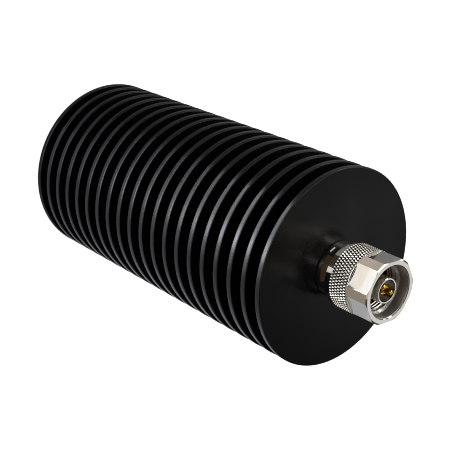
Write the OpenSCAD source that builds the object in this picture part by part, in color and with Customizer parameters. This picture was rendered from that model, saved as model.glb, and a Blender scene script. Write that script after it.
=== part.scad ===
// RF dummy load: a turned, finned cylinder with a type N plug on its front disc.
// Stands on its rear disc. +Z is the axis, towards the plug. Millimetres.

/* [Heat sink] */
// Diameter of the disc fins
fin_d = 64; // [50:0.5:90]
// Length of the heat sink, from its rear face to its front face
sink_l = 121.8; // [90:0.1:160]
// Number of disc fins
fin_count = 20; // [14:1:26]
// Thickness of one fin
fin_t = 1.75; // [1.4:0.05:2.6]
// Diameter of the solid core between the fins
core_d = 36; // [28:0.5:44]
// Rounding of the fin rims
fin_edge_r = 0.4; // [0.1:0.05:0.6]
// Corner radius that the grooving tool leaves at the fin roots
fin_root_r = 0.8; // [0.2:0.1:1]
// Diameter of the blind bore
bore_d = 16; // [14.6:0.1:17]

/* [Connector body] */
// Diameter of the collar that sits on the front disc
collar_d = 18; // [17.2:0.1:22]
// Length of the collar
collar_l = 4.1; // [3:0.1:8]
// Length of the threaded shank in the bore
shank_l = 10; // [8:0.5:14]
// Diameter of the neck that the nut turns on
neck_d = 13.2; // [12.4:0.1:13.6]
// Length of the neck, from the collar to the gasket seat
neck_l = 5.9; // [5.4:0.1:6.6]
// Edge chamfer of turned connector parts
edge_c = 0.3; // [0.1:0.05:0.5]

/* [Coaxial line] */
// Outside diameter of the outer contact
sleeve_od = 8; // [7.8:0.05:8.4]
// Inside diameter of the outer contact
sleeve_id = 7; // [6.6:0.05:7.2]
// Diameter of the outer contact's foot, in the body and the gasket
foot_d = 9; // [8.7:0.1:9.6]
// Reach of the outer contact past the gasket seat
sleeve_l = 10.2; // [9:0.1:10.8]
// Depth of the outer contact's seat in the body
sleeve_seat_l = 8; // [6:0.1:9]
// Length of the outer contact's stepped-in rear wall
sleeve_wall_l = 3; // [2:0.1:4]
// Diameter of the pin in the air line
pin_d = 3.04; // [2.8:0.02:3.2]
// Diameter of the pin's tip
tip_d = 1.6; // [1.4:0.02:1.8]
// Diameter of the pin's tail, inside the insulators
tail_d = 2.1; // [1.8:0.05:2.4]
// Length of the front insulator
bead_l = 6; // [4:0.1:7]
// Set-back of the pin's shoulder behind the outer contact's front
pin_setback = 0.8; // [0.4:0.1:3]
// Length of the pin's tip, past its shoulder
tip_l = 2.6; // [2:0.1:5]
// Outside diameter of the rear insulator
bush_d = 8; // [7:0.1:9]
// Length of the rear insulator
bush_l = 6; // [4:0.1:7]
// Bore of the air line between the insulators
throat_d = 4.84; // [4.4:0.02:5.4]
// Thickness of the sealing gasket
gasket_t = 1.3; // [0.8:0.1:1.8]
// Outside diameter of the sealing gasket
gasket_d = 12.6; // [11.6:0.1:13]

/* [Coupling nut] */
// Diameter of the smooth rear rim, which runs on under the knurled band
rim_d = 19.9; // [19:0.1:20]
// Length of the rear rim
rim_l = 2.4; // [1.6:0.1:3]
// Diameter over the tips of the knurl
knurl_d = 20.8; // [20.6:0.1:22]
// Length of the knurled band
knurl_l = 6.6; // [5:0.1:8]
// Diamonds around the knurl
knurl_count = 68; // [40:1:90]
// Rows of diamonds along the knurl, each half a diamond on from the last
knurl_rows = 6; // [3:1:9]
// Depth of the knurl
knurl_depth = 0.4; // [0.2:0.05:0.5]
// Diameter of the round bar at the flats
bar_d = 20.5; // [20:0.1:21.5]
// Width across the six flats
flats_w = 19.1; // [18.4:0.1:19.6]
// Length of the round land between the knurled band and the flats
land_l = 0.2; // [0.1:0.05:0.6]
// Length of the bar in front of the knurled band
flats_l = 8; // [7:0.1:9]
// Length of the front chamfer along the axis
front_c_l = 0.3; // [0.2:0.05:1]
// Radial depth of the front chamfer
front_c_r = 0.5; // [0.2:0.05:0.6]
// Angle of the flats at rest
flats_turn = 41; // [0:1:59]
// Diameter of the mouth in front of the thread
mouth_d = 16.3; // [16:0.05:16.8]
// Depth of the mouth
mouth_l = 3.8; // [2.5:0.1:4.5]
// Major diameter of the 5/8-24 coupling thread
thread_d = 15.9; // [15.7:0.05:16]
// Length of the thread
thread_l = 5.6; // [4:0.1:5.8]
// Thickness of the retaining ring along the axis
ring_t = 1; // [0.6:0.1:1.2]
// Radial width of the retaining ring
ring_w = 1.5; // [1.2:0.1:1.7]
// Width of the slit in the retaining ring
ring_slit = 3; // [1:0.5:5]

/* [Resistor] */
// Length of the carrier slug
carrier_l = 44; // [32:1:60]
// Length of the full round end behind the flat
carrier_end_l = 5; // [3:0.5:10]
// Length of the resistor's base plate
flange_l = 16; // [15:0.5:19]
// Width of the resistor's base plate
flange_w = 9.5; // [7:0.1:10]
// Thickness of the resistor's base plate
flange_t = 1.6; // [1.2:0.1:2.2]
// Side of the square ceramic chip
chip_w = 9; // [6:0.1:9]
// Thickness of the ceramic chip
chip_t = 1; // [0.6:0.1:1.5]
// Thickness of the ceramic lid
lid_t = 1; // [0.6:0.1:1.5]
// Width of the flat lead
tab_w = 2; // [1.2:0.1:2.4]
// Thickness of the flat lead
tab_t = 0.2; // [0.1:0.05:0.4]
// Length of lead that lies on the pin's tail
tab_lap_l = 2.6; // [1.5:0.1:4]
// Free length of lead between the tail and the chip
tab_free_l = 1.7; // [1:0.1:4]
// Length of lead that lies on the chip
tab_land_l = 2.2; // [1:0.1:3]
// Thread diameter of the flange screw
screw_d = 3; // [2:0.1:3.2]
// Length of the screw's thread under its washer
screw_l = 5.5; // [4:0.1:6]
// Distance of the screw from the base plate's rear end
screw_inset = 3.3; // [3.2:0.1:3.6]

/* [Hidden] */
$fn = 96;

// Radial clearance of pieces that are screwed or pushed together
seat_gap = 0.03;
// Radial running clearance of the nut on the neck
run_gap = 0.1;
// Clearance of the nut from everything else it turns past
free_gap = 0.3;
// Overrun of a cut past the face it opens
cut = 1;
// Steps in one quarter of a rounded edge
arc_steps = 4;

// Heat sink
fin_gap = (sink_l - fin_count * fin_t) / (fin_count - 1);
fin_pitch = fin_t + fin_gap;
face_z = sink_l;

// Connector body, from its rear end to the gasket seat
shank_z = face_z - shank_l;
collar_z = face_z + collar_l;
seat_z = collar_z + neck_l;

// Coaxial line
sleeve_z = seat_z - sleeve_seat_l;
bead_z = sleeve_z + sleeve_wall_l;
pin_z = bead_z + bead_l;
sleeve_front_z = seat_z + sleeve_l;
shoulder_z = sleeve_front_z - pin_setback;
tip_z = shoulder_z + tip_l;
tip_bevel = tip_d / 4;
foot_front_z = seat_z + gasket_t;

// Coupling nut
nut_z = collar_z + free_gap;
knurl_z = nut_z + rim_l;
flats_z = knurl_z + knurl_l;
nut_front_z = flats_z + flats_l;
nut_bore_d = neck_d + 2 * run_gap;
thread_relief = 0.25;
relief_d = thread_d + 2 * thread_relief;
thread_z = nut_front_z - mouth_l - thread_l;
mouth_c = 0.35;
rim_c = edge_c / 2;
knurl_sink = 0.4;
bar_lap = 0.1;

// Retaining ring, half sunk in the neck, behind the lip that the nut's rim makes
ring_lip_l = 2.4;
ring_z = nut_z + ring_lip_l + free_gap;
ring_od = neck_d + ring_w;
ring_id = ring_od - 2 * ring_w;
ring_groove_d = ring_id - 2 * seat_gap;
ring_lip_z = ring_z + ring_t + free_gap;
ring_lip_front_l = 0.5;

// Resistor: the chip's top, the tail's flat and the lead's underside share one plane on the axis
carrier_gap = 0.1;
tab_gap = 0.8;
lid_margin = 0.5;
carrier_d = bore_d - 2 * seat_gap;
carrier_front_z = shank_z;
carrier_z = carrier_front_z - carrier_l;
bore_z = carrier_z - carrier_gap;
flat_y = -flange_t - chip_t;
tail_z = carrier_front_z - tab_gap - tab_lap_l;
chip_front_z = tail_z - tab_free_l;
chip_margin = (flange_w - chip_w) / 2;
flange_front_z = chip_front_z + chip_margin;
flange_z = flange_front_z - flange_l;
chip_z = chip_front_z - chip_w;
lid_w = chip_w - 2 * lid_margin;
lid_l = chip_w - tab_land_l - 2 * lid_margin;
lid_z = chip_z + lid_margin;
screw_z = flange_z + screw_inset;
screw_hole_d = screw_d + 2 * run_gap;
washer_d = 2 * screw_d;
washer_t = 0.5;
head_d = 1.8 * screw_d;
head_h = 0.65 * screw_d;
socket_w = 0.65 * screw_d;
socket_h = head_h / 2;
tapped_l = screw_l - flange_t - washer_t;

// Points of a round edge, r and z of its centre, from angle a0 to a1
function edge(r, z, rad, a0, a1) =
    [for (i = [0:arc_steps]) let (a = a0 + (a1 - a0) * i / arc_steps) [r + rad * cos(a), z + rad * sin(a)]];

// One fin's rim, from its rear face to its front face
function fin_rim(z) = concat(
    edge(fin_d / 2 - fin_edge_r, z + fin_edge_r, fin_edge_r, -90, 0),
    edge(fin_d / 2 - fin_edge_r, z + fin_t - fin_edge_r, fin_edge_r, 0, 90));

// The groove in front of one fin, with its two root corners
function fin_groove(z) = concat(
    edge(core_d / 2 + fin_root_r, z + fin_root_r, fin_root_r, 270, 180),
    edge(core_d / 2 + fin_root_r, z + fin_gap - fin_root_r, fin_root_r, 180, 90));

function sink_profile() = concat(
    [[0, 0]],
    [for (i = [0:fin_count - 1]) let (z = i * fin_pitch)
        each concat(fin_rim(z), i < fin_count - 1 ? fin_groove(z + fin_t) : [])],
    [[0, face_z]]);

module turned(profile) rotate_extrude() polygon(profile);

module drilled(d, z0, z1) translate([0, 0, z0]) cylinder(d = d, h = z1 - z0);

// A hole across the carrier, down from the resistor's plane
module screw_hole(d, y0, y1) translate([0, y0, screw_z]) rotate([-90, 0, 0]) cylinder(d = d, h = y1 - y0);

// A plate on the carrier's flat, from y0 up, between z0 and z1
module plate(w, y0, t, z0, z1) translate([-w / 2, y0, z0]) cube([w, t, z1 - z0]);

module finned_heatsink() color("#1b1c1e") difference() {
    turned(sink_profile());
    drilled(bore_d, bore_z, face_z + cut);
}

module connector_body() color("#b9b7b2") difference() {
    turned([
        [0, shank_z], [carrier_d / 2 - edge_c, shank_z], [carrier_d / 2, shank_z + edge_c], [carrier_d / 2, face_z],
        [collar_d / 2 - edge_c, face_z], [collar_d / 2, face_z + edge_c],
        [collar_d / 2, collar_z - edge_c], [collar_d / 2 - edge_c, collar_z],
        [neck_d / 2, collar_z], [neck_d / 2, ring_z - seat_gap],
        [ring_groove_d / 2, ring_z - seat_gap], [ring_groove_d / 2, ring_z + ring_t + seat_gap],
        [neck_d / 2, ring_z + ring_t + seat_gap], [neck_d / 2, seat_z - edge_c],
        [neck_d / 2 - edge_c, seat_z], [0, seat_z]]);
    drilled(throat_d, shank_z - cut, seat_z + cut);
    drilled(bush_d, shank_z - cut, shank_z + bush_l);
    drilled(foot_d + 2 * seat_gap, sleeve_z, seat_z + cut);
}

module outer_contact() color("#d9d8d4") difference() {
    turned([
        [0, sleeve_z], [foot_d / 2, sleeve_z], [foot_d / 2, foot_front_z],
        [sleeve_od / 2, foot_front_z], [sleeve_od / 2, sleeve_front_z - edge_c / 2],
        [sleeve_od / 2 - edge_c / 2, sleeve_front_z], [0, sleeve_front_z]]);
    drilled(throat_d, sleeve_z - cut, bead_z + cut);
    drilled(sleeve_id, bead_z, sleeve_front_z + cut);
}

module centre_contact() color("#d6a23a") difference() {
    turned([
        [0, tail_z], [tail_d / 2, tail_z], [tail_d / 2, pin_z], [pin_d / 2, pin_z],
        [pin_d / 2, shoulder_z - edge_c], [pin_d / 2 - edge_c, shoulder_z], [tip_d / 2, shoulder_z],
        each edge(tip_d / 2 - tip_bevel, tip_z - tip_bevel, tip_bevel, 0, 90), [0, tip_z]]);
    plate(tail_d + cut, 0, tail_d, tail_z - cut, tail_z + tab_lap_l);
}

module front_insulator() color("#f2f1ec") difference() {
    drilled(sleeve_id - 2 * seat_gap, bead_z, pin_z);
    drilled(tail_d + 2 * seat_gap, bead_z - cut, pin_z + cut);
}

module rear_insulator() color("#f2f1ec") difference() {
    drilled(bush_d - 2 * seat_gap, shank_z, shank_z + bush_l);
    drilled(tail_d + 2 * seat_gap, shank_z - cut, shank_z + bush_l + cut);
}

module sealing_gasket() color("#b5463a") difference() {
    drilled(gasket_d, seat_z, foot_front_z);
    drilled(foot_d + 2 * seat_gap, seat_z - cut, foot_front_z + cut);
}

module retaining_ring() color("#8d8468") difference() {
    drilled(ring_od, ring_z, ring_z + ring_t);
    drilled(ring_id, ring_z - cut, ring_z + ring_t + cut);
    translate([0, -ring_slit / 2, ring_z - cut]) cube([ring_od, ring_slit, ring_t + 2 * cut]);
}

// A point of the knurl: half step m around, row j along, tips and groove crossings in turn
function knurl_point(m, j) = let (
        a = 180 * m / knurl_count,
        r = knurl_d / 2 - ((m + j) % 2 == 0 ? knurl_depth : 0))
    [r * cos(a), r * sin(a), knurl_z + j * knurl_l / knurl_rows];

// A point of the knurled ring's inner wall, which is sunk in the bar
function knurl_root(m, z) = let (a = 180 * m / knurl_count, r = rim_d / 2 - knurl_sink)
    [r * cos(a), r * sin(a), z];

// Ring of raised diamonds: its skin folds along the lines that join groove crossings
module knurl_ring() {
    n = 2 * knurl_count;
    function skin(m, j) = j * n + m % n;
    function root(m, k) = (knurl_rows + 1 + k) * n + m % n;
    polyhedron(
        points = concat(
            [for (j = [0:knurl_rows], m = [0:n - 1]) knurl_point(m, j)],
            [for (z = [knurl_z, flats_z], m = [0:n - 1]) knurl_root(m, z)]),
        faces = concat(
            [for (j = [0:knurl_rows - 1], m = [0:n - 1])
                let (a = skin(m, j), b = skin(m + 1, j), c = skin(m + 1, j + 1), d = skin(m, j + 1))
                each (m + j) % 2 == 0 ? [[a, c, b], [a, d, c]] : [[a, d, b], [b, d, c]]],
            [for (m = [0:n - 1])
                each [
                    [skin(m, 0), skin(m + 1, 0), root(m + 1, 0), root(m, 0)],
                    [root(m, 0), root(m + 1, 0), root(m + 1, 1), root(m, 1)],
                    [root(m, 1), root(m + 1, 1), skin(m + 1, knurl_rows), skin(m, knurl_rows)]]]));
}

// Six flats, milled from the front and ending at the knurled band's shoulder
module flats_cut() rotate(flats_turn) for (i = [0:5]) rotate(60 * i)
    translate([flats_w / 2, -bar_d / 2, flats_z + land_l]) cube([bar_d, bar_d, flats_l + cut]);

module coupling_nut() color("#c4c1bb") difference() {
    union() {
        turned([
            [0, nut_z], [rim_d / 2 - rim_c, nut_z], [rim_d / 2, nut_z + rim_c],
            [rim_d / 2, flats_z - bar_lap], [bar_d / 2, flats_z - bar_lap],
            [bar_d / 2, nut_front_z - front_c_l], [bar_d / 2 - front_c_r, nut_front_z], [0, nut_front_z]]);
        knurl_ring();
    }
    flats_cut();
    drilled(nut_bore_d, nut_z - cut, nut_front_z);
    drilled(ring_od + 2 * free_gap, ring_z - free_gap, ring_lip_z);
    drilled(relief_d, ring_lip_z + ring_lip_front_l, thread_z);
    drilled(thread_d, thread_z - cut, nut_front_z);
    drilled(mouth_d, nut_front_z - mouth_l, nut_front_z + cut);
    turned([
        [0, nut_front_z - mouth_c], [mouth_d / 2, nut_front_z - mouth_c],
        [mouth_d / 2 + mouth_c, nut_front_z], [0, nut_front_z]]);
}

module resistor_carrier() color("#a9adb0") difference() {
    drilled(carrier_d, carrier_z, carrier_front_z);
    plate(bore_d, flat_y, bore_d, carrier_z + carrier_end_l, carrier_front_z + cut);
    screw_hole(screw_d, flat_y - tapped_l, flat_y + cut);
}

module resistor_flange() color("#c9b7a0") difference() {
    plate(flange_w, flat_y, flange_t, flange_z, flange_front_z);
    screw_hole(screw_hole_d, flat_y - cut, flat_y + flange_t + cut);
}

module resistor_chip() color("#e9e6df") plate(chip_w, flat_y + flange_t, chip_t, chip_z, chip_front_z);

module resistor_lid() color("#f4f2ee") plate(lid_w, 0, lid_t, lid_z, lid_z + lid_l);

module resistor_tab() color("#cfd0cf") plate(tab_w, 0, tab_t, chip_front_z - tab_land_l, tail_z + tab_lap_l);

module flange_screw() color("#9a9c9e") difference() {
    union() {
        screw_hole(screw_d - 2 * seat_gap, flat_y - tapped_l + seat_gap, flat_y + flange_t + washer_t);
        screw_hole(head_d, flat_y + flange_t + washer_t, flat_y + flange_t + washer_t + head_h);
    }
    translate([0, flat_y + flange_t + washer_t + head_h - socket_h, screw_z]) rotate([-90, 0, 0])
        cylinder(d = socket_w, h = socket_h + cut, $fn = 6);
}

module screw_washer() color("#a7a9aa") difference() {
    screw_hole(washer_d, flat_y + flange_t, flat_y + flange_t + washer_t);
    screw_hole(screw_hole_d, flat_y, flat_y + flange_t + washer_t + cut);
}

finned_heatsink();
connector_body();
outer_contact();
centre_contact();
front_insulator();
rear_insulator();
sealing_gasket();
retaining_ring();
coupling_nut();
resistor_carrier();
resistor_flange();
resistor_chip();
resistor_lid();
resistor_tab();
flange_screw();
screw_washer();
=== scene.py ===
import math
import bmesh
import bpy
from mathutils import Matrix, Vector


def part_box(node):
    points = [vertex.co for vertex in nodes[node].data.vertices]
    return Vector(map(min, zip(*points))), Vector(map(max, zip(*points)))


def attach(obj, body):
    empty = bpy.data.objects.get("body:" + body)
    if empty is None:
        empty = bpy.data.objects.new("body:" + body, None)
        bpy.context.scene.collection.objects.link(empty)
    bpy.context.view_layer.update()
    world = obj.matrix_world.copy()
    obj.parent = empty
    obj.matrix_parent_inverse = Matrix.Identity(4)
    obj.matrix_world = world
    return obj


# RF dummy load: looks, stage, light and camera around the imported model
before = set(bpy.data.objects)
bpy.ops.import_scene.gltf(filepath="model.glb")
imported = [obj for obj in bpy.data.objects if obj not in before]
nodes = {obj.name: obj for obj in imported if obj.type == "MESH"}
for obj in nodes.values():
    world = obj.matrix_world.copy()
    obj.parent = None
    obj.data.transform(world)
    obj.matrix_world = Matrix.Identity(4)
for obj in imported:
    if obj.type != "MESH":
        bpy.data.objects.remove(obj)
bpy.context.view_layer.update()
mm = 0.001
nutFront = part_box("coupling_nut")[1][2] / mm
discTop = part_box("finned_heatsink")[1][2] / mm
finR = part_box("finned_heatsink")[1][0] / mm
scene = bpy.context.scene
scene.view_settings.view_transform = "Standard"
scene.cycles.filter_width = 1.05  # pixels, a little crisper than the default
print("frame loaded:", len(nodes), "nodes")


# sRGB hex to linear, with full alpha
def linearColour(hexColour):
    parts = [int(hexColour[i:i + 2], 16) / 255 for i in (1, 3, 5)]
    return [p / 12.92 if p <= 0.04045 else ((p + 0.055) / 1.055) ** 2.4 for p in parts] + [1]


# one node with its settings; a socket given as an input is linked, anything else is set.
# A colour mix has its two colours at inputs 6 and 7, a vector mix its two vectors at 4 and 5
def addNode(tree, kind, inputs=None, **settings):
    node = tree.nodes.new(kind)
    for name, value in settings.items():
        setattr(node, name, value)
    for name, value in (inputs or {}).items():
        if isinstance(value, bpy.types.NodeSocket):
            tree.links.new(value, node.inputs[name])
        else:
            node.inputs[name].default_value = value
    return node


def clearTree(owner):
    owner.use_nodes = True
    owner.node_tree.nodes.clear()
    return owner.node_tree


def newMaterial(name, shaderInputs):
    material = bpy.data.materials.new(name)
    tree = clearTree(material)
    shader = addNode(tree, "ShaderNodeBsdfPrincipled", shaderInputs)
    addNode(tree, "ShaderNodeOutputMaterial", {"Surface": shader.outputs[0]})
    return material, tree, shader


# object coordinates, and the same point as distance from the axis and height,
# in which the marks of a lathe are straight lines
def latheCoords(tree):
    place = addNode(tree, "ShaderNodeTexCoord").outputs["Object"]
    flat = addNode(tree, "ShaderNodeVectorMath", {0: place, 1: (1, 1, 0)}, operation="MULTIPLY").outputs[0]
    radius = addNode(tree, "ShaderNodeVectorMath", {0: flat}, operation="LENGTH").outputs["Value"]
    height = addNode(tree, "ShaderNodeSeparateXYZ", {0: place}).outputs["Z"]
    lathe = addNode(tree, "ShaderNodeCombineXYZ", {"X": radius, "Y": height}).outputs[0]
    return dict(place=place, flat=flat, radius=radius, height=height, lathe=lathe)


noiseRange = {"From Min": 0.3, "From Max": 0.7}  # where a noise mostly stays

# Anodised aluminium, turned and dyed black: the lathe's fine rings draw a lamp's gloss out across them,
# so the rims carry one bright place each and the discs a soft fan. Sizes and depths are in mm;
# grain and tool marks are finer in life, and are drawn as coarse as they need to show
anodised = dict(
    dark="#030304", light="#070708", rough=(0.27, 0.32), gloss=0.3,
    drawnOut=0.35, drawnTurn=0.25,  # a quarter turn, so across the rings
    grain=0.25, grainDetail=3.0, grainDepth=0.003,
    cloud=14, cloudDetail=2.0,
    toolPitch=0.3, toolDetail=1.0, toolDepth=0.0015,
    edge=0.41, crisp=1.6)  # the fins' rounded edge, and how far it shades as the rim does


def makeAnodised():
    material, tree, shader = newMaterial("blackAnodisedTurnedAluminium",
                                         {"Anisotropic": anodised["drawnOut"],
                                          "Anisotropic Rotation": anodised["drawnTurn"],
                                          "Specular IOR Level": anodised["gloss"]})
    at = latheCoords(tree)
    grain = addNode(tree, "ShaderNodeTexNoise", {"Vector": at["place"], "Scale": 1 / (anodised["grain"] * mm),
                                                 "Detail": anodised["grainDetail"]}).outputs[0]
    cloud = addNode(tree, "ShaderNodeTexNoise", {"Vector": at["place"], "Scale": 1 / (anodised["cloud"] * mm),
                                                 "Detail": anodised["cloudDetail"]}).outputs[0]
    tool = addNode(tree, "ShaderNodeTexNoise", {"Vector": at["lathe"],
                                                "Scale": 1 / (anodised["toolPitch"] * mm),
                                                "Detail": anodised["toolDetail"]}).outputs[0]
    colour = addNode(tree, "ShaderNodeMix", {0: grain, 6: linearColour(anodised["dark"]),
                                             7: linearColour(anodised["light"])}, data_type="RGBA").outputs[2]
    tree.links.new(colour, shader.inputs["Base Color"])
    rough = addNode(tree, "ShaderNodeMapRange", {"Value": cloud, **noiseRange, "To Min": anodised["rough"][0],
                                                 "To Max": anodised["rough"][1]}).outputs["Result"]
    tree.links.new(rough, shader.inputs["Roughness"])
    around = addNode(tree, "ShaderNodeTangent", direction_type="RADIAL", axis="Z")
    tree.links.new(around.outputs[0], shader.inputs["Tangent"])
    # turned faces are dead flat, so they shade as level ones up to the fins' edges
    shape = addNode(tree, "ShaderNodeNewGeometry").outputs
    lean = addNode(tree, "ShaderNodeSeparateXYZ", {0: shape["True Normal"]}).outputs["Z"]
    lean = addNode(tree, "ShaderNodeMath", {0: lean}, operation="ROUND").outputs[0]
    level = addNode(tree, "ShaderNodeCombineXYZ", {"Z": lean}).outputs[0]
    lean = addNode(tree, "ShaderNodeMath", {0: lean}, operation="ABSOLUTE").outputs[0]
    onFace = addNode(tree, "ShaderNodeMath", {0: at["radius"], 1: (finR - anodised["edge"]) * mm},
                     operation="LESS_THAN").outputs[0]
    onFace = addNode(tree, "ShaderNodeMath", {0: onFace, 1: lean}, operation="MULTIPLY").outputs[0]
    surface = addNode(tree, "ShaderNodeMix", {0: onFace, 4: shape["Normal"], 5: level},
                      data_type="VECTOR").outputs[1]
    # those edges were only broken, so most of their round still catches light as the rim does
    outward = addNode(tree, "ShaderNodeVectorMath", {0: at["flat"]}, operation="NORMALIZE").outputs[0]
    share = addNode(tree, "ShaderNodeVectorMath", {0: surface, 1: outward},
                    operation="DOT_PRODUCT").outputs["Value"]
    share = addNode(tree, "ShaderNodeMath", {0: share, 1: anodised["crisp"]}, operation="MULTIPLY").outputs[0]
    pull = addNode(tree, "ShaderNodeVectorMath", {0: outward, "Scale": share}, operation="SCALE").outputs[0]
    crisp = addNode(tree, "ShaderNodeVectorMath", {0: surface, 1: pull}, operation="ADD").outputs[0]
    crisp = addNode(tree, "ShaderNodeVectorMath", {0: crisp}, operation="NORMALIZE").outputs[0]
    bump = addNode(tree, "ShaderNodeBump", {"Height": grain, "Distance": anodised["grainDepth"] * mm,
                                            "Normal": crisp})
    bump = addNode(tree, "ShaderNodeBump", {"Height": tool, "Distance": anodised["toolDepth"] * mm,
                                            "Normal": bump.outputs[0]})
    tree.links.new(bump.outputs[0], shader.inputs["Normal"])
    return material


# Metals: the lathe's or the mill's fine marks stay in them, under a faint cloudiness, and their edges are
# a little soft. Sizes in mm; the marks are finer in life, and are drawn as coarse as they need to show
metal = dict(cloud=2.5, detail=2.0, edgeSamples=4)


def makeMetal(look):
    material, tree, shader = newMaterial(look["name"], {"Metallic": 1.0})
    at = latheCoords(tree)
    tool = addNode(tree, "ShaderNodeTexNoise", {"Vector": at["lathe"], "Scale": 1 / (look["toolPitch"] * mm),
                                                "Detail": metal["detail"]}).outputs[0]
    cloud = addNode(tree, "ShaderNodeTexNoise", {"Vector": at["place"], "Scale": 1 / (metal["cloud"] * mm),
                                                 "Detail": metal["detail"]}).outputs[0]
    colour = addNode(tree, "ShaderNodeMix", {0: cloud, 6: linearColour(look["dark"]),
                                             7: linearColour(look["light"])}, data_type="RGBA").outputs[2]
    tree.links.new(colour, shader.inputs["Base Color"])
    rough = addNode(tree, "ShaderNodeMapRange", {"Value": cloud, **noiseRange, "To Min": look["rough"][0],
                                                 "To Max": look["rough"][1]}).outputs["Result"]
    tree.links.new(rough, shader.inputs["Roughness"])
    softEdge = addNode(tree, "ShaderNodeBevel", {"Radius": look["edge"] * mm}, samples=metal["edgeSamples"])
    bump = addNode(tree, "ShaderNodeBump", {"Height": tool, "Distance": look["toolDepth"] * mm,
                                            "Normal": softEdge.outputs[0]})
    tree.links.new(bump.outputs[0], shader.inputs["Normal"])
    return material


# the knurled band's diamonds were pressed, not cut: their edges are rounder than the rest. The grooves between
# them get a painted shade, a colour that goes dark towards their bottoms for the shade that falls there
knurl = dict(
    fromFront=(8.03, 14.6), depth=0.4, edge=0.09, otherEdge=0.04, edgeSamples=8,
    shoulder=0.3, shoulderEdge=0.12,  # half the width of the step in front of it, and its extra roundness
    groove="#24221f", paintedShadeShare=(0.1, 0.5))  # painted shade, full up to a tenth of the depth and gone from half of it
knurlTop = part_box("coupling_nut")[1][0] / mm
boreFinish = dict(within=8.3, rough=0.42)  # the mouth was bored and left as cut


def finishAndShadeNut(material):
    tree = material.node_tree
    shader = next(node for node in tree.nodes if node.type == "BSDF_PRINCIPLED")
    softEdge = next(node for node in tree.nodes if node.type == "BEVEL")
    softEdge.samples = knurl["edgeSamples"]
    at = latheCoords(tree)
    near, far = [(nutFront - d) * mm for d in knurl["fromFront"]]
    band = addNode(tree, "ShaderNodeMath", {0: at["height"], 1: (near + far) / 2, 2: (near - far) / 2},
                   operation="COMPARE").outputs[0]
    edge = addNode(tree, "ShaderNodeMath", {0: band, 1: (knurl["edge"] - knurl["otherEdge"]) * mm,
                                            2: knurl["otherEdge"] * mm}, operation="MULTIPLY_ADD").outputs[0]
    shoulder = addNode(tree, "ShaderNodeMath", {0: at["height"], 1: near, 2: knurl["shoulder"] * mm},
                       operation="COMPARE").outputs[0]
    edge = addNode(tree, "ShaderNodeMath", {0: shoulder, 1: knurl["shoulderEdge"] * mm, 2: edge},
                   operation="MULTIPLY_ADD").outputs[0]
    tree.links.new(edge, softEdge.inputs["Radius"])
    # painted shade: the colour darkens towards the bottom of the knurl's grooves; the gloss stays as on the
    # tops
    low, high = [(knurlTop - knurl["depth"] * (1 - share)) * mm for share in knurl["paintedShadeShare"]]
    grooveShade = addNode(tree, "ShaderNodeMapRange", {"Value": at["radius"], "From Min": low, "From Max": high,
                                                "To Min": 1.0, "To Max": 0.0}).outputs["Result"]
    grooveShade = addNode(tree, "ShaderNodeMath", {0: grooveShade, 1: band}, operation="MULTIPLY").outputs[0]
    plated = shader.inputs["Base Color"].links[0].from_socket
    colour = addNode(tree, "ShaderNodeMix", {0: grooveShade, 6: plated, 7: linearColour(knurl["groove"])},
                     data_type="RGBA").outputs[2]
    tree.links.new(colour, shader.inputs["Base Color"])
    bore = addNode(tree, "ShaderNodeMath", {0: at["radius"], 1: boreFinish["within"] * mm},
                   operation="LESS_THAN").outputs[0]
    bore = addNode(tree, "ShaderNodeMath", {0: bore, 1: boreFinish["rough"]}, operation="MULTIPLY").outputs[0]
    polish = shader.inputs["Roughness"].links[0].from_socket
    rough = addNode(tree, "ShaderNodeMath", {0: polish, 1: bore}, operation="MAXIMUM").outputs[0]
    tree.links.new(rough, shader.inputs["Roughness"])


# Plastic, rubber and ceramic: matt, with a fine grain, its size and depth in mm
mattDetail = 3.0


def makeMatt(look):
    material, tree, shader = newMaterial(look["name"], {"Roughness": look["rough"]})
    place = latheCoords(tree)["place"]
    spots = addNode(tree, "ShaderNodeTexNoise", {"Vector": place, "Scale": 1 / (look["grain"] * mm),
                                                 "Detail": mattDetail}).outputs[0]
    colour = addNode(tree, "ShaderNodeMix", {0: spots, 6: linearColour(look["dark"]),
                                             7: linearColour(look["light"])}, data_type="RGBA").outputs[2]
    tree.links.new(colour, shader.inputs["Base Color"])
    bump = addNode(tree, "ShaderNodeBump", {"Height": spots, "Distance": look["depth"] * mm})
    tree.links.new(bump.outputs[0], shader.inputs["Normal"])
    return material


blackAnodised = makeAnodised()
# bright nickel on milled brass: a warm white mirror, sharp on the flats
nickelNut = makeMetal(dict(name="brightNickelMilledBrass", dark="#d4cfc6", light="#dcd9d2", rough=(0.06, 0.1),
                           toolPitch=0.12, toolDepth=0.0008, edge=0.04))
finishAndShadeNut(nickelNut)
# the same nickel where the thread was cut: each flank a soft streak
nickelThread = makeMetal(dict(name="brightNickelCutThread", dark="#d4cfc6", light="#dcd9d2", rough=(0.2, 0.26),
                              toolPitch=0.2, toolDepth=0.002, edge=0.04))
# bright nickel on turned brass: a warm mirror that the turning rings soften
nickelBody = makeMetal(dict(name="brightNickelTurnedBrass", dark="#d3cdc2", light="#dcd8cf", rough=(0.12, 0.18),
                            toolPitch=0.12, toolDepth=0.0012, edge=0.05))
# silver on turned brass: the palest metal of the plug, softly bright
silverPlate = makeMetal(dict(name="silverPlatedTurnedBrass", dark="#e6e3dc", light="#efedea", rough=(0.14, 0.2),
                             toolPitch=0.1, toolDepth=0.001, edge=0.04))
# gold on turned brass: deep yellow with a satin gloss
goldPlate = makeMetal(dict(name="goldPlatedTurnedBrass", dark="#f0b23a", light="#ffce5c", rough=(0.2, 0.28),
                           toolPitch=0.1, toolDepth=0.001, edge=0.04))
# rolled spring bronze: brownish yellow, half dull
springBronze = makeMetal(dict(name="rolledSpringBronze", dark="#a07c46", light="#b58d55", rough=(0.3, 0.4),
                              toolPitch=0.2, toolDepth=0.001, edge=0.03))
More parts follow.
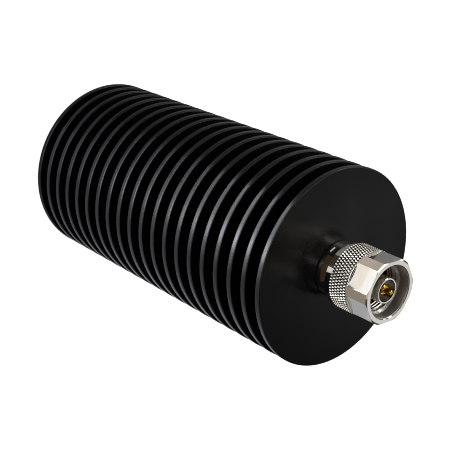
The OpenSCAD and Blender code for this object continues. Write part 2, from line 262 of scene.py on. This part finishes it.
# bare aluminium as turned: cool grey with plain tool rings
bareAluminium = makeMetal(dict(name="turnedBareAluminium", dark="#c3c5c7", light="#d2d3d4", rough=(0.28, 0.38),
                               toolPitch=0.25, toolDepth=0.004, edge=0.05))
# nickel on copper sheet: pale, with some of the copper's warmth
platedCopper = makeMetal(dict(name="nickelPlatedCopperSheet", dark="#c9b59c", light="#d8c6b0",
                              rough=(0.25, 0.35), toolPitch=0.3, toolDepth=0.001, edge=0.04))
# zinc on steel: bluish grey, rather dull
zincSteel = makeMetal(dict(name="zincPlatedSteel", dark="#b6b9bc", light="#c8cacc", rough=(0.28, 0.38),
                           toolPitch=0.2, toolDepth=0.001, edge=0.05))
# turned PTFE: milk white and waxy
ptfe = makeMatt(dict(name="turnedPtfe", dark="#e9e8e4", light="#f6f5f2", rough=0.45, grain=0.2, depth=0.002))
# moulded silicone: brick red and matt
silicone = makeMatt(dict(name="mouldedSilicone", dark="#7d2a22", light="#8e332a", rough=0.55, grain=0.15,
                         depth=0.002))
# sintered alumina: chalk white, quite without gloss
alumina = makeMatt(dict(name="sinteredAlumina", dark="#e6e4de", light="#f3f1ec", rough=0.6, grain=0.1,
                        depth=0.003))

finishes = dict(
    finned_heatsink=blackAnodised, connector_body=nickelBody, coupling_nut=nickelNut,
    outer_contact=silverPlate, centre_contact=goldPlate, front_insulator=ptfe, rear_insulator=ptfe,
    sealing_gasket=silicone, retaining_ring=springBronze, resistor_carrier=bareAluminium,
    resistor_flange=platedCopper, resistor_chip=alumina, resistor_lid=alumina, resistor_tab=silverPlate,
    flange_screw=zincSteel, screw_washer=zincSteel)
for name, finish in finishes.items():
    nodes[name].data.materials.clear()
    nodes[name].data.materials.append(finish)
print("finishes set:", len(finishes))

# 5/8-24 coupling thread: one ridge wound along the nut's bore, with the chamfer that leads into it.
# Lengths in mm; the shares are of the pitch, fade is in turns, and the ends fade to the lowest share
inch = 25.4
thread = dict(pitch=inch / 24, wallR=7.95, crestR=7.4, crestShare=0.25, baseShare=0.875, mouth=3.8,
              length=5.6, leadIn=0.5, stepsPerTurn=96, fade=0.5, lowest=0.12, sunk=0.06)
threadFront = nutFront - thread["mouth"]
threadRear = threadFront - thread["length"]


def turnedPoint(r, angle, z):
    return r * math.cos(angle) * mm, r * math.sin(angle) * mm, z * mm


def skinBetween(mesh, a, b):
    for k in range(len(a)):
        mesh.faces.new((a[k], b[k], b[(k + 1) % len(a)], a[(k + 1) % len(a)]))


def makeThread():
    mesh = bmesh.new()
    coneRear = threadFront - thread["leadIn"]
    turns = (coneRear - threadRear) / thread["pitch"] - thread["baseShare"]
    count = round(turns * thread["stepsPerTurn"])
    halfBase = thread["baseShare"] * thread["pitch"] / 2
    halfCrest = thread["crestShare"] * thread["pitch"] / 2
    rootR = thread["wallR"] + thread["sunk"]
    rings = []
    for i in range(count + 1):
        turn = turns * i / count
        rise = min(1, turn / thread["fade"], (turns - turn) / thread["fade"])
        crestR = rootR + (thread["crestR"] - rootR) * max(rise, thread["lowest"])
        z = threadRear + halfBase + turn * thread["pitch"]
        section = [(rootR, -halfBase), (crestR, -halfCrest), (crestR, halfCrest), (rootR, halfBase)]
        rings.append([mesh.verts.new(turnedPoint(r, math.tau * turn, z + dz)) for r, dz in section])
    for a, b in zip(rings, rings[1:]):
        skinBetween(mesh, a, b)
    mesh.faces.new(rings[0][::-1])
    mesh.faces.new(rings[-1])
    # lead-in ring: a cone from the mouth's wall down to the crests
    steps = thread["stepsPerTurn"]
    cone = [(rootR, threadFront), (thread["wallR"], threadFront), (thread["crestR"], coneRear),
            (rootR, coneRear)]
    loops = []
    for i in range(steps):
        loops.append([mesh.verts.new(turnedPoint(r, math.tau * i / steps, z)) for r, z in cone])
    for i in range(steps):
        skinBetween(mesh, loops[i], loops[(i + 1) % steps])
    bmesh.ops.recalc_face_normals(mesh, faces=mesh.faces)
    data = bpy.data.meshes.new("coupling_thread")
    mesh.to_mesh(data)
    mesh.free()
    piece = bpy.data.objects.new("coupling_thread", data)
    scene.collection.objects.link(piece)
    data.materials.append(nickelThread)
    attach(piece, "nut")


makeThread()
print("thread wound")

# Camera: where the photograph was taken from, with the object standing on its rear disc
photoCamera = dict(place=(-237.38, 74.96, 317.68), back=(-0.6747, 0.2198, 0.7046),
                   up=(0.0015, 0.955, -0.2965), lens=82.88, sensor=36, nearest=10)


def facing(back, up):
    backward = Vector(back).normalized()
    right = Vector(up).cross(backward).normalized()
    return Matrix((right, backward.cross(right), backward)).transposed().to_4x4()


def makeCamera():
    data = bpy.data.cameras.new("photoCamera")
    data.lens = photoCamera["lens"]
    data.sensor_width = photoCamera["sensor"]
    data.clip_start = photoCamera["nearest"] * mm
    camera = bpy.data.objects.new("photoCamera", data)
    scene.collection.objects.link(camera)
    place = Matrix.Translation(Vector(photoCamera["place"]) * mm)
    camera.matrix_world = place @ facing(photoCamera["back"], photoCamera["up"])
    scene.camera = camera


makeCamera()
print("camera placed")


# Stage: floor, cards, scrim, lamps and world
# a card glows on its front only; from behind it is clear
def glowMaterial(name, hexColour, strength):
    material = bpy.data.materials.new(name)
    tree = clearTree(material)
    glow = addNode(tree, "ShaderNodeEmission", {"Color": linearColour(hexColour), "Strength": strength})
    clear = addNode(tree, "ShaderNodeBsdfTransparent")
    behind = addNode(tree, "ShaderNodeNewGeometry").outputs["Backfacing"]
    side = addNode(tree, "ShaderNodeMixShader", {0: behind, 1: glow.outputs[0], 2: clear.outputs[0]})
    addNode(tree, "ShaderNodeOutputMaterial", {"Surface": side.outputs[0]})
    return material


def stageMesh(name, points, faces, material):
    data = bpy.data.meshes.new(name)
    data.from_pydata(points, [], faces)
    data.materials.append(material)
    piece = bpy.data.objects.new(name, data)
    scene.collection.objects.link(piece)
    return piece


# one for rays that should find white: those of the eye, of gloss and of glass
def seenWhite(tree):
    light = addNode(tree, "ShaderNodeLightPath").outputs
    seen = addNode(tree, "ShaderNodeMath", {0: light["Is Camera Ray"], 1: light["Is Glossy Ray"]},
                   operation="MAXIMUM").outputs[0]
    return addNode(tree, "ShaderNodeMath", {0: seen, 1: light["Is Transmission Ray"]},
                   operation="MAXIMUM").outputs[0]


# floor: white to the eye and in the metal, with a matt share that takes the object's shadow
floorLook = dict(colour="#ffffff", glow=0.9, matt="#e8e8e8", half=8.0)  # half its width, m


def makeFloor():
    material = bpy.data.materials.new("paleFloor")
    tree = clearTree(material)
    strength = addNode(tree, "ShaderNodeMath", {0: seenWhite(tree), 1: floorLook["glow"]},
                       operation="MULTIPLY").outputs[0]
    glow = addNode(tree, "ShaderNodeEmission", {"Color": linearColour(floorLook["colour"]),
                                                "Strength": strength})
    matt = addNode(tree, "ShaderNodeBsdfDiffuse", {"Color": linearColour(floorLook["matt"])})
    both = addNode(tree, "ShaderNodeAddShader", {0: glow.outputs[0], 1: matt.outputs[0]})
    addNode(tree, "ShaderNodeOutputMaterial", {"Surface": both.outputs[0]})
    h = floorLook["half"]
    stageMesh("floor", [(-h, -h, 0), (h, -h, 0), (h, h, 0), (-h, h, 0)], [(0, 1, 2, 3)], material)


makeFloor()

# cards that only gloss sees: sectors of rings round the object, by direction in degrees,
# from an inner edge (away, height) to an outer edge, in mm
cards = []
cardStep = 4  # degrees

# low over the floor, with the glow given ring by ring: the fins' rims look at the inner three,
# the nut's flats at the last
floorLift = 0.5
floorRings = ((33, 75), (75, 130), (130, 185), (185, 300))
floorSectors = [
    dict(name="farRight", span=(-40, 8), rims="#f6f8ff", nut="#fbfbff", glow=(0.1, 0.1, 0.1, 0.1)),
    dict(name="right", span=(8, 62), rims="#f6f8ff", nut="#fbfbff", glow=(0.33, 0.33, 0.32, 0.28)),
    dict(name="top", span=(62, 123), rims="#f8f8fa", nut="#fff2ea", glow=(0.25, 0.25, 0.28, 0.55)),
    dict(name="upperLeft", span=(123, 150), rims="#f2f6ff", nut="#ffffff", glow=(0.42, 0.55, 11.0, 1.1)),
    dict(name="flat", span=(150, 167), rims="#f0f5ff", nut="#fcfcff", glow=(0.85, 1.9, 11.0, 1.38)),
    dict(name="key", span=(167, 186), rims="#f0f5ff", nut="#f8fbff", glow=(0.85, 1.8, 25.0, 10.0)),
    dict(name="lowerLeft", span=(186, 204), rims="#f0f5ff", nut="#ffffff", glow=(0.65, 1.2, 4.4, 0.9)),
    dict(name="warm", span=(204, 250), rims="#f0f4fc", nut="#ffeedd", glow=(0.68, 0.8, 0.8, 0.36)),
    dict(name="table", span=(250, 300), rims="#f2f5ff", nut="#f2f5ff", glow=(0.93, 1.0, 1.05, 0.62)),
    dict(name="fill", span=(300, 320), rims="#ffffff", nut="#ffffff", glow=(0.35, 0.35, 0.35, 0.35)),
]
for sector in floorSectors:
    colours = [sector["rims"]] * (len(floorRings) - 1) + [sector["nut"]]
    for number, (inner, outer) in enumerate(floorRings):
        cards.append(dict(name="%sCard%d" % (sector["name"], number), span=sector["span"],
                          inner=(inner, floorLift), outer=(outer, floorLift),
                          colour=colours[number], glow=sector["glow"][number]))

# walls: a bright band for the knurl, and below and above it the light along the fins' front edges
lowWall, bandWall, highWall, wholeWall = (floorLift, 42), (42, 100), (100, 190), (floorLift, 190)
walls = [
    dict(name="bandTop", span=(60, 122), away=300, heights=bandWall, colour="#fffefc", glow=0.6),
    dict(name="band", span=(122, 258), away=300, heights=bandWall, colour="#fffefc", glow=1.4),
    dict(name="bandLow", span=(172, 192), away=297, heights=bandWall, colour="#fffefc", glow=3.4),
    dict(name="edgeLow", span=(140, 188), away=298, heights=lowWall, colour="#f8fbff", glow=5.0),
    dict(name="edgeHigh", span=(140, 188), away=298, heights=highWall, colour="#f8fbff", glow=4.5),
    dict(name="warmLow", span=(188, 250), away=298, heights=lowWall, colour="#f6f8ff", glow=0.7),
    dict(name="warmHigh", span=(188, 250), away=298, heights=highWall, colour="#f6f8ff", glow=0.7),
    dict(name="edgeTop", span=(48, 72), away=298, heights=highWall, colour="#fbfbff", glow=4.0),
    dict(name="farWall", span=(0, 360), away=302, heights=wholeWall, colour="#ffffff", glow=0.04),
]
for wall in walls:
    low, high = wall["heights"]
    cards.append(dict(name=wall["name"], span=wall["span"], inner=(wall["away"], low),
                      outer=(wall["away"], high), colour=wall["colour"], glow=wall["glow"]))

# a dim ring on the floor where the object stands: the rear disc's lower edge looks at it
contact = dict(reach=(finR - 0.3, 40), lift=0.004, colour="#f0f5ff", glow=0.3)
cards.append(dict(name="contact", span=(0, 360), inner=(contact["reach"][0], contact["lift"]),
                  outer=(contact["reach"][1], contact["lift"]), colour=contact["colour"], glow=contact["glow"]))

# just over the front disc, where the nut's flats, its rim and the collar look down
discLift = 0.3
overDisc = [
    dict(name="flatTop", span=(20, 62), reach=(25.5, 34), colour="#fbfbff", glow=0.25),
    dict(name="cornerTop", span=(62, 146), reach=(25.5, 34), colour="#fff2ea", glow=0.6),
    dict(name="flatLeft", span=(146, 167), reach=(25.5, 34), colour="#fdf9f4", glow=1.2),
    dict(name="cornerLow", span=(186, 250), reach=(23, 34), colour="#ffeedd", glow=0.36),
    dict(name="flatLow", span=(250, 300), reach=(20.5, 34), colour="#f2f5ff", glow=0.55),
    dict(name="collar", span=(142, 208), reach=(10.6, 13.4), colour="#ffc8a0", glow=0.042),
    dict(name="foot", span=(119, 134), reach=(10.25, 10.7), colour="#ffffff", glow=0.9),
]
for look in overDisc:
    inner, outer = look["reach"]
    cards.append(dict(name=look["name"] + "Card", span=look["span"], inner=(inner, discTop + discLift),
                      outer=(outer, discTop + discLift), colour=look["colour"], glow=look["glow"]))


def makeCard(card):
    start, stop = card["span"]
    steps = math.ceil((stop - start) / cardStep)
    points = []
    for i in range(steps + 1):
        angle = math.radians(start + (stop - start) * i / steps)
        points += [turnedPoint(r, angle, z) for r, z in (card["inner"], card["outer"])]
    faces = [(2 * i, 2 * i + 1, 2 * i + 3, 2 * i + 2) for i in range(steps)]
    piece = stageMesh(card["name"], points, faces, glowMaterial(card["name"], card["colour"], card["glow"]))
    piece.visible_camera = False
    piece.visible_shadow = False
    piece.visible_diffuse = False


for card in cards:
    makeCard(card)
print("cards set:", len(cards))

# overhead scrim, a dim grey ceiling for the front disc
scrimLook = dict(colour="#48494b", glow=1.0, height=0.7, half=8.0)  # height and half its width, m


def makeScrim():
    h, z = scrimLook["half"], scrimLook["height"]
    piece = stageMesh("scrim", [(-h, -h, z), (-h, h, z), (h, h, z), (h, -h, z)], [(0, 1, 2, 3)],
                      glowMaterial("scrim", scrimLook["colour"], scrimLook["glow"]))
    piece.visible_camera = False
    piece.visible_shadow = False


makeScrim()


# a flat lamp, its size in mm and its glow the brightness of the panel
def makePanel(name, wide, tall, look, place, back):
    light = bpy.data.lights.new(name, "AREA")
    light.shape = "RECTANGLE"
    light.size = wide * mm
    light.size_y = tall * mm
    light.energy = look["glow"] * math.pi * light.size * light.size_y
    light.color = linearColour(look["colour"])[:3]
    piece = bpy.data.objects.new(name, light)
    scene.collection.objects.link(piece)
    piece.matrix_world = Matrix.Translation(place) @ facing(back, (0, 0, 1))
    piece.visible_camera = False
    return piece


# lamps, by direction round the plug and above it in degrees, distance and size in mm
lamps = [
    dict(name="leftKey", deg=172, lift=23, away=600, wide=200, tall=190, glow=3.2, colour="#fffcf6"),
    dict(name="frontSoft", deg=-13, lift=36, away=450, wide=130, tall=60, glow=0.82, colour="#ffffff"),
    dict(name="rightSoft", deg=28, lift=27, away=500, wide=250, tall=176, glow=1.5, colour="#fff8e8"),
    dict(name="topSoft", deg=66, lift=27, away=500, wide=170, tall=150, glow=4.5, colour="#ffffff"),
    dict(name="highSoft", deg=58, lift=60, away=500, wide=220, tall=180, glow=3.2, colour="#ffffff"),
    dict(name="lowSoft", deg=281, lift=37, away=500, wide=130, tall=90, glow=0.6, colour="#ffffff"),
    dict(name="overhead", deg=90, lift=88, away=520, wide=500, tall=500, glow=0.6, colour="#fff4dc"),
]
behindFront = 12
lampAim = Vector((0, 0, (nutFront - behindFront) * mm))


def makeLamp(lamp):
    lift = math.radians(lamp["lift"])
    back = Vector(turnedPoint(lamp["away"] * math.cos(lift), math.radians(lamp["deg"]),
                              lamp["away"] * math.sin(lift)))
    makePanel(lamp["name"], lamp["wide"], lamp["tall"], lamp, back + lampAim, back)


for lamp in lamps:
    makeLamp(lamp)

# small lamps round the nut, that only gloss sees: for its smooth rim, low over the disc,
# and for the shoulder in front of its knurl. Each run of them is a row of panels along a ring
overRim = dict(away=15.4, height=discTop + 1.45, tall=2.3, tilt=-38, spread=100)
overShoulder = dict(away=20, height=nutFront + 0.5, tall=11.7, tilt=41, spread=80)
lampRuns = [
    dict(overRim, name="rim", span=(38, 134), count=6, glow=0.08, colour="#fffff4"),
    dict(overRim, name="rimMiddle", span=(134, 166), count=2, glow=0.009, colour="#fffff4"),
    dict(overRim, name="rimWindow", span=(166, 179), count=1, glow=0.24, colour="#f4fff8"),
    dict(overShoulder, name="shoulder", span=(72, 152), count=5, glow=0.17, colour="#ffffff"),
]


def makeLampRun(run):
    start, stop = [math.radians(deg) for deg in run["span"]]
    half = (stop - start) / run["count"] / 2
    wide = 2 * run["away"] * math.sin(half)
    for i in range(run["count"]):
        angle = start + half * (2 * i + 1)
        place = Vector(turnedPoint(run["away"] * math.cos(half), angle, run["height"]))
        back = Vector((math.cos(angle), math.sin(angle), math.tan(math.radians(run["tilt"]))))
        piece = makePanel("%sLamp%d" % (run["name"], i), wide, run["tall"], run, place, back)
        piece.data.spread = math.radians(run["spread"])
        piece.visible_diffuse = False


for run in lampRuns:
    makeLampRun(run)


# world: white behind the floor's edge, for the eye and in the metal
def makeWorld():
    world = bpy.data.worlds.new("whiteRoom")
    scene.world = world
    tree = clearTree(world)
    sky = addNode(tree, "ShaderNodeBackground", {"Color": linearColour("#ffffff"),
                                                 "Strength": seenWhite(tree)})
    addNode(tree, "ShaderNodeOutputWorld", {"Surface": sky.outputs[0]})


makeWorld()
print("stage and light set")
